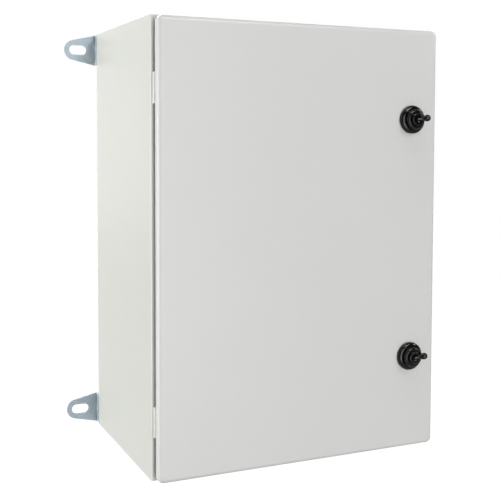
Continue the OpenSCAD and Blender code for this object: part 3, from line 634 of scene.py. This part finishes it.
STITCH_R, MITRE_R, LEAF_R, KNUCKLE_R, FOOT_W = 1.3, 0.9, 1.0, 0.9, 1.6
INSIDE_X, INSIDE_Z, STITCH_Y, STITCH_L = 173.5, 248.5, range(-232, 0, 48), 24
MITRE_X, MITRE_Y, MITRE_Z, MITRE_RUN = 172, -240.6, 247, 9.5
LEAF_Y, LEAF_X, LEAF_Z = -242.0, (-169.5, -164.3), (156.5, -200.5)
KNUCKLE_X, KNUCKLE_Y, KNUCKLE_Z = -171.4, (-255.2, -250.6), (189.8, -167.2)
stitches = [bead((x, y, z), (x, y + STITCH_L, z), STITCH_R)
            for x in (-INSIDE_X, INSIDE_X) for z in (-INSIDE_Z, INSIDE_Z) for y in STITCH_Y]
mitres = [bead((side * MITRE_X, MITRE_Y, end * MITRE_Z),
               (side * (MITRE_X - MITRE_RUN), MITRE_Y, end * (MITRE_Z - MITRE_RUN)), MITRE_R)
          for side in (-1, 1) for end in (-1, 1)]
feet = [ring_bead(at, (0, -1, 0), SPACER_R, FOOT_W) for at in PLATE_STUDS]
leaf_beads = [bead((LEAF_X[0], LEAF_Y, z), (LEAF_X[1], LEAF_Y, z), LEAF_R) for z in LEAF_Z]
knuckle_beads = [bead((KNUCKLE_X, KNUCKLE_Y[0], z), (KNUCKLE_X, KNUCKLE_Y[1], z), KNUCKLE_R)
                 for z in KNUCKLE_Z]
new_piece("body_weld_beads", stitches + mitres + feet + leaf_beads, "body", "body_paint")
new_piece("door_weld_beads", knuckle_beads, "door", "door_paint")

# %% [markdown]
# ## The poured gasket
# A robot pours the gasket as a liquid round the door, and it foams up into a
# soft cord with a closed skin. It is flat where it holds on to the sheet and
# domed on its free side. Its width and height wander a little with the pour,
# and the end of the pour laps over the start in a low hump.

# %% Door gasket
LINE_X, LINE_Z, LINE_R = 161.75, 236.75, 8.0
FOAM_W, FOAM_H, FOAM_Y, FOAM_SQUARENESS = 9.7, 6.9, -258.5, 0.6
LAP_AT, LAP_WIDTH = 4.2, 0.012


def round_line(half_x, half_z, corner, count):
    """Points and outward normals, evenly spaced, on a rectangle with round
    corners: corner centre + corner (cos a, sin a), joined by straights."""
    arc = np.linspace(0, np.pi / 2, 13)
    corners = np.repeat(np.arange(4), len(arc))
    angle = np.tile(arc, 4) + corners * np.pi / 2
    centre = np.stack([np.where((corners == 0) | (corners == 3), 1, -1) * (half_x - corner),
                       np.where(corners < 2, 1, -1) * (half_z - corner)])
    normal = np.stack([np.cos(angle), np.sin(angle)])
    line = centre + corner * normal
    line, normal = (np.concatenate([v, v[:, :1]], axis=1) for v in (line, normal))
    along = np.concatenate([[0], np.cumsum(np.linalg.norm(np.diff(line), axis=0))])
    even = np.arange(count) / count * along[-1]
    return [np.array([np.interp(even, along, part) for part in v]) for v in (line, normal)]


def poured_foam(count=900, across=20):
    """Over the line's point p with normal n, a section point at angle b lies
    at p + n (w / 2) cos b and stands h sin b high, where both are squared
    off by a power of 0.6, and the base closes it. Width and height swing by
    2 % each, and the lap adds 3 % to the height."""
    line, normal = round_line(LINE_X, LINE_Z, LINE_R, count)
    turn = np.arange(count) / count * 2 * np.pi
    width = FOAM_W * (1 + 0.02 * np.sin(23 * turn) * np.sin(7 * turn + 1))
    lap = np.exp(-((turn - LAP_AT) / LAP_WIDTH) ** 2)
    height = FOAM_H * (0.96 + 0.02 * np.sin(31 * turn + 2) * np.sin(11 * turn) + 0.03 * lap)
    b = np.linspace(0, np.pi, across)[:, None]
    out = np.sign(np.cos(b)) * np.abs(np.cos(b)) ** FOAM_SQUARENESS * width / 2
    up = np.sin(b) ** FOAM_SQUARENESS * height
    x, z = line[0] + normal[0] * out, line[1] + normal[1] * out
    points = np.stack([x, FOAM_Y + up, z], axis=-1).reshape(-1, 3) * MM
    i, j = np.meshgrid(np.arange(across), np.arange(count), indexing="ij")
    ahead_i, ahead_j = (i + 1) % across, (j + 1) % count
    quads = np.stack([i * count + j, i * count + ahead_j, ahead_i * count + ahead_j,
                      ahead_i * count + j], axis=-1)
    return points, quads.reshape(-1, 4).tolist()


foam = new_piece("poured_gasket", [poured_foam()], "door", "door_foam")
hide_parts("door_gasket")

# %% [markdown]
# ## The camera
# It stands in front of the door, to the left and a little above the middle,
# and looks slightly down. The lens shift centres the tall box in a square
# picture while its upright edges stay nearly upright.

# %% Camera
YAW, PITCH, ROLL = 0.43506, -0.05606, 0.00453
CAMERA_AT, CAMERA_LENS, CAMERA_SHIFT = (-0.4754, -1.1965, 0.1212), 67.55, (-0.0476, -0.1196)
ahead = Vector((math.sin(YAW) * math.cos(PITCH), math.cos(YAW) * math.cos(PITCH),
                math.sin(PITCH)))
level = Vector((math.cos(YAW), -math.sin(YAW), 0))
upright = level.cross(ahead)
right = math.cos(ROLL) * level + math.sin(ROLL) * upright
camera = bpy.data.objects.new("camera", bpy.data.cameras.new("camera"))
bpy.context.scene.collection.objects.link(camera)
camera.matrix_world = Matrix.Translation(CAMERA_AT) @ Matrix(
    (right, right.cross(ahead), -ahead)).transposed().to_4x4()
camera.data.sensor_width = 36
camera.data.lens = CAMERA_LENS
camera.data.shift_x, camera.data.shift_y = CAMERA_SHIFT
bpy.context.scene.camera = camera
print("camera looks along", [round(c, 3) for c in ahead])

# %% [markdown]
# ## Lamps
# A box like this is lit by large soft boxes, so that the flat sheet shows no
# hot spot. A tall one stands straight in front and lights the door, and one
# to the left, behind the plane of the door, lights the side wall: so the fold
# of the door keeps the gap beside it dark. A small key stands high in front,
# a strip overhead draws the bright line along the upper fold, and one more
# box lights the back. Two white cards light nothing that is matt and only
# put a clean highlight on gloss, as a studio's reflectors do.

# %% Soft boxes
def soft_box(name, centre, aim, width, height, watts):
    """An area lamp at centre, turned so that its face looks at aim."""
    lamp = bpy.data.lights.new(name, "AREA")
    lamp.shape = "RECTANGLE"
    lamp.size, lamp.size_y, lamp.energy = width, height, watts
    box = bpy.data.objects.new(name, lamp)
    bpy.context.scene.collection.objects.link(box)
    look = (Vector(aim) - Vector(centre)).to_track_quat("-Z", "Y")
    box.matrix_world = Matrix.Translation(centre) @ look.to_matrix().to_4x4()
    return box


middle = (0, -0.14, 0)
soft_box("box_left", (-2.4, 0.5, -0.2), middle, 1.2, 1.2, 45)
soft_box("box_front", (0.0, -2.7, -0.3), middle, 1.5, 2.2, 42)
soft_box("box_key", (0.93, -1.99, 1.58), middle, 0.42, 0.42, 7)
soft_box("strip_top", (-0.4, -0.6, 2.0), middle, 1.6, 0.4, 9)
soft_box("box_back", (POLE_R, 2.3, 1.3), middle, 0.8, 1.2, 28)
for card in (soft_box("card_upper", (0.49, -2.23, 1.47), middle, 0.6, 0.6, 20),
             soft_box("card_right", (1.34, -1.02, 0.59), middle, 0.35, 0.35, 5)):
    card.visible_diffuse = False
print("lamps:", len(bpy.data.lights))

# %% [markdown]
# ## Background
# The picture has a white ground, so the camera sees the world at strength 1,
# which is white. A real studio is white behind and beside the box and darker
# where the camera stands, and gloss shows that: black plastic turned to
# the front stays black. So gloss sees a world that falls off from behind the
# box to the front, and matt surfaces get a weaker, nearly even sky.

# %% World
FROM_BEHIND = (-0.3, 0.954, 0.0)
SKY_LOW, SKY_HIGH = 0.28, 0.34
GLOSS_LOW, GLOSS_HIGH = 0.15, 1.0


def blend_value(tree, factor, low, high):
    """low where the factor is 0 and high where it is 1; each is a number or
    an output."""
    node = add_node(tree, "ShaderNodeMix", {"data_type": "FLOAT"}, {0: factor})
    for index, value in ((2, low), (3, high)):
        if isinstance(value, float):
            node.inputs[index].default_value = value
        else:
            tree.links.new(value, node.inputs[index])
    return node.outputs[0]


world = bpy.data.worlds.new("white_studio")
bpy.context.scene.world = world
world.use_nodes = True
tree = world.node_tree
tree.nodes.clear()
towards = add_node(tree, "ShaderNodeTexCoord").outputs["Generated"]
facing = add_node(tree, "ShaderNodeVectorMath", {"operation": "DOT_PRODUCT", 1: FROM_BEHIND},
                  {0: towards}).outputs["Value"]
gloss_sky = add_node(tree, "ShaderNodeMapRange",
                     {"From Min": -0.5, "From Max": 0.3,
                      "To Min": GLOSS_LOW, "To Max": GLOSS_HIGH}, {"Value": facing})
matt_sky = add_node(tree, "ShaderNodeMapRange",
                    {"From Min": -1.0, "From Max": 1.0, "To Min": SKY_LOW, "To Max": SKY_HIGH},
                    {"Value": facing})
ray = add_node(tree, "ShaderNodeLightPath")
lit = blend_value(tree, ray.outputs["Is Glossy Ray"], matt_sky.outputs["Result"],
                  gloss_sky.outputs["Result"])
seen = add_node(tree, "ShaderNodeMath", {"operation": "MAXIMUM"},
                {0: ray.outputs["Is Camera Ray"], 1: ray.outputs["Is Transmission Ray"]})
ground = add_node(tree, "ShaderNodeBackground", {"Color": to_linear("#FFFFFF")},
                  {"Strength": blend_value(tree, seen.outputs["Value"], lit, 1.0)})
add_node(tree, "ShaderNodeOutputWorld", links={"Surface": ground.outputs["Background"]})
print("sky for matt surfaces:", SKY_LOW, "to", SKY_HIGH)

# %% [markdown]
# ## Floor
# The box hangs on a wall, so the floor lies well below it. It is a matt grey
# that throws little light up at the underside, and it glows for the camera,
# so that it looks as white as the world while it keeps a soft shadow.

# %% Floor
FLOOR_DROP, FLOOR_HALF = 0.9, 12.0
FLOOR_HEX, FLOOR_GLOW, FLOOR_GLOSS = "#8A8A8A", 0.94, 0.4
floor_z = cad_bounds[0][2] - FLOOR_DROP
floor_mesh = bpy.data.meshes.new("floor")
floor_mesh.from_pydata(
    [(x, y, floor_z) for x, y in ((-FLOOR_HALF, -FLOOR_HALF), (FLOOR_HALF, -FLOOR_HALF),
                                  (FLOOR_HALF, FLOOR_HALF), (-FLOOR_HALF, FLOOR_HALF))],
    [], [(0, 1, 2, 3)])
floor = bpy.data.objects.new("floor", floor_mesh)
bpy.context.scene.collection.objects.link(floor)
floor_paint = bpy.data.materials.new("matt_floor")
floor_paint.use_nodes = True
tree = floor_paint.node_tree
tree.nodes.clear()
matt = add_node(tree, "ShaderNodeBsdfDiffuse", {"Color": to_linear(FLOOR_HEX)})
ray = add_node(tree, "ShaderNodeLightPath")
seen = add_node(tree, "ShaderNodeMath", {"operation": "MAXIMUM"},
                {0: ray.outputs["Is Camera Ray"], 1: ray.outputs["Is Transmission Ray"]})
mirrored = add_node(tree, "ShaderNodeMath", {"operation": "MULTIPLY", 1: FLOOR_GLOSS},
                    {0: ray.outputs["Is Glossy Ray"]})
glow = add_node(tree, "ShaderNodeEmission", {"Color": to_linear("#FFFFFF")},
                {"Strength": blend_value(tree, seen.outputs["Value"],
                                         mirrored.outputs["Value"], FLOOR_GLOW)})
both = add_node(tree, "ShaderNodeAddShader",
                links={0: matt.outputs["BSDF"], 1: glow.outputs["Emission"]})
add_node(tree, "ShaderNodeOutputMaterial", links={"Surface": both.outputs["Shader"]})
floor_mesh.materials.append(floor_paint)
bpy.context.scene.view_settings.view_transform = "Standard"
print("floor at", round(floor_z, 3))
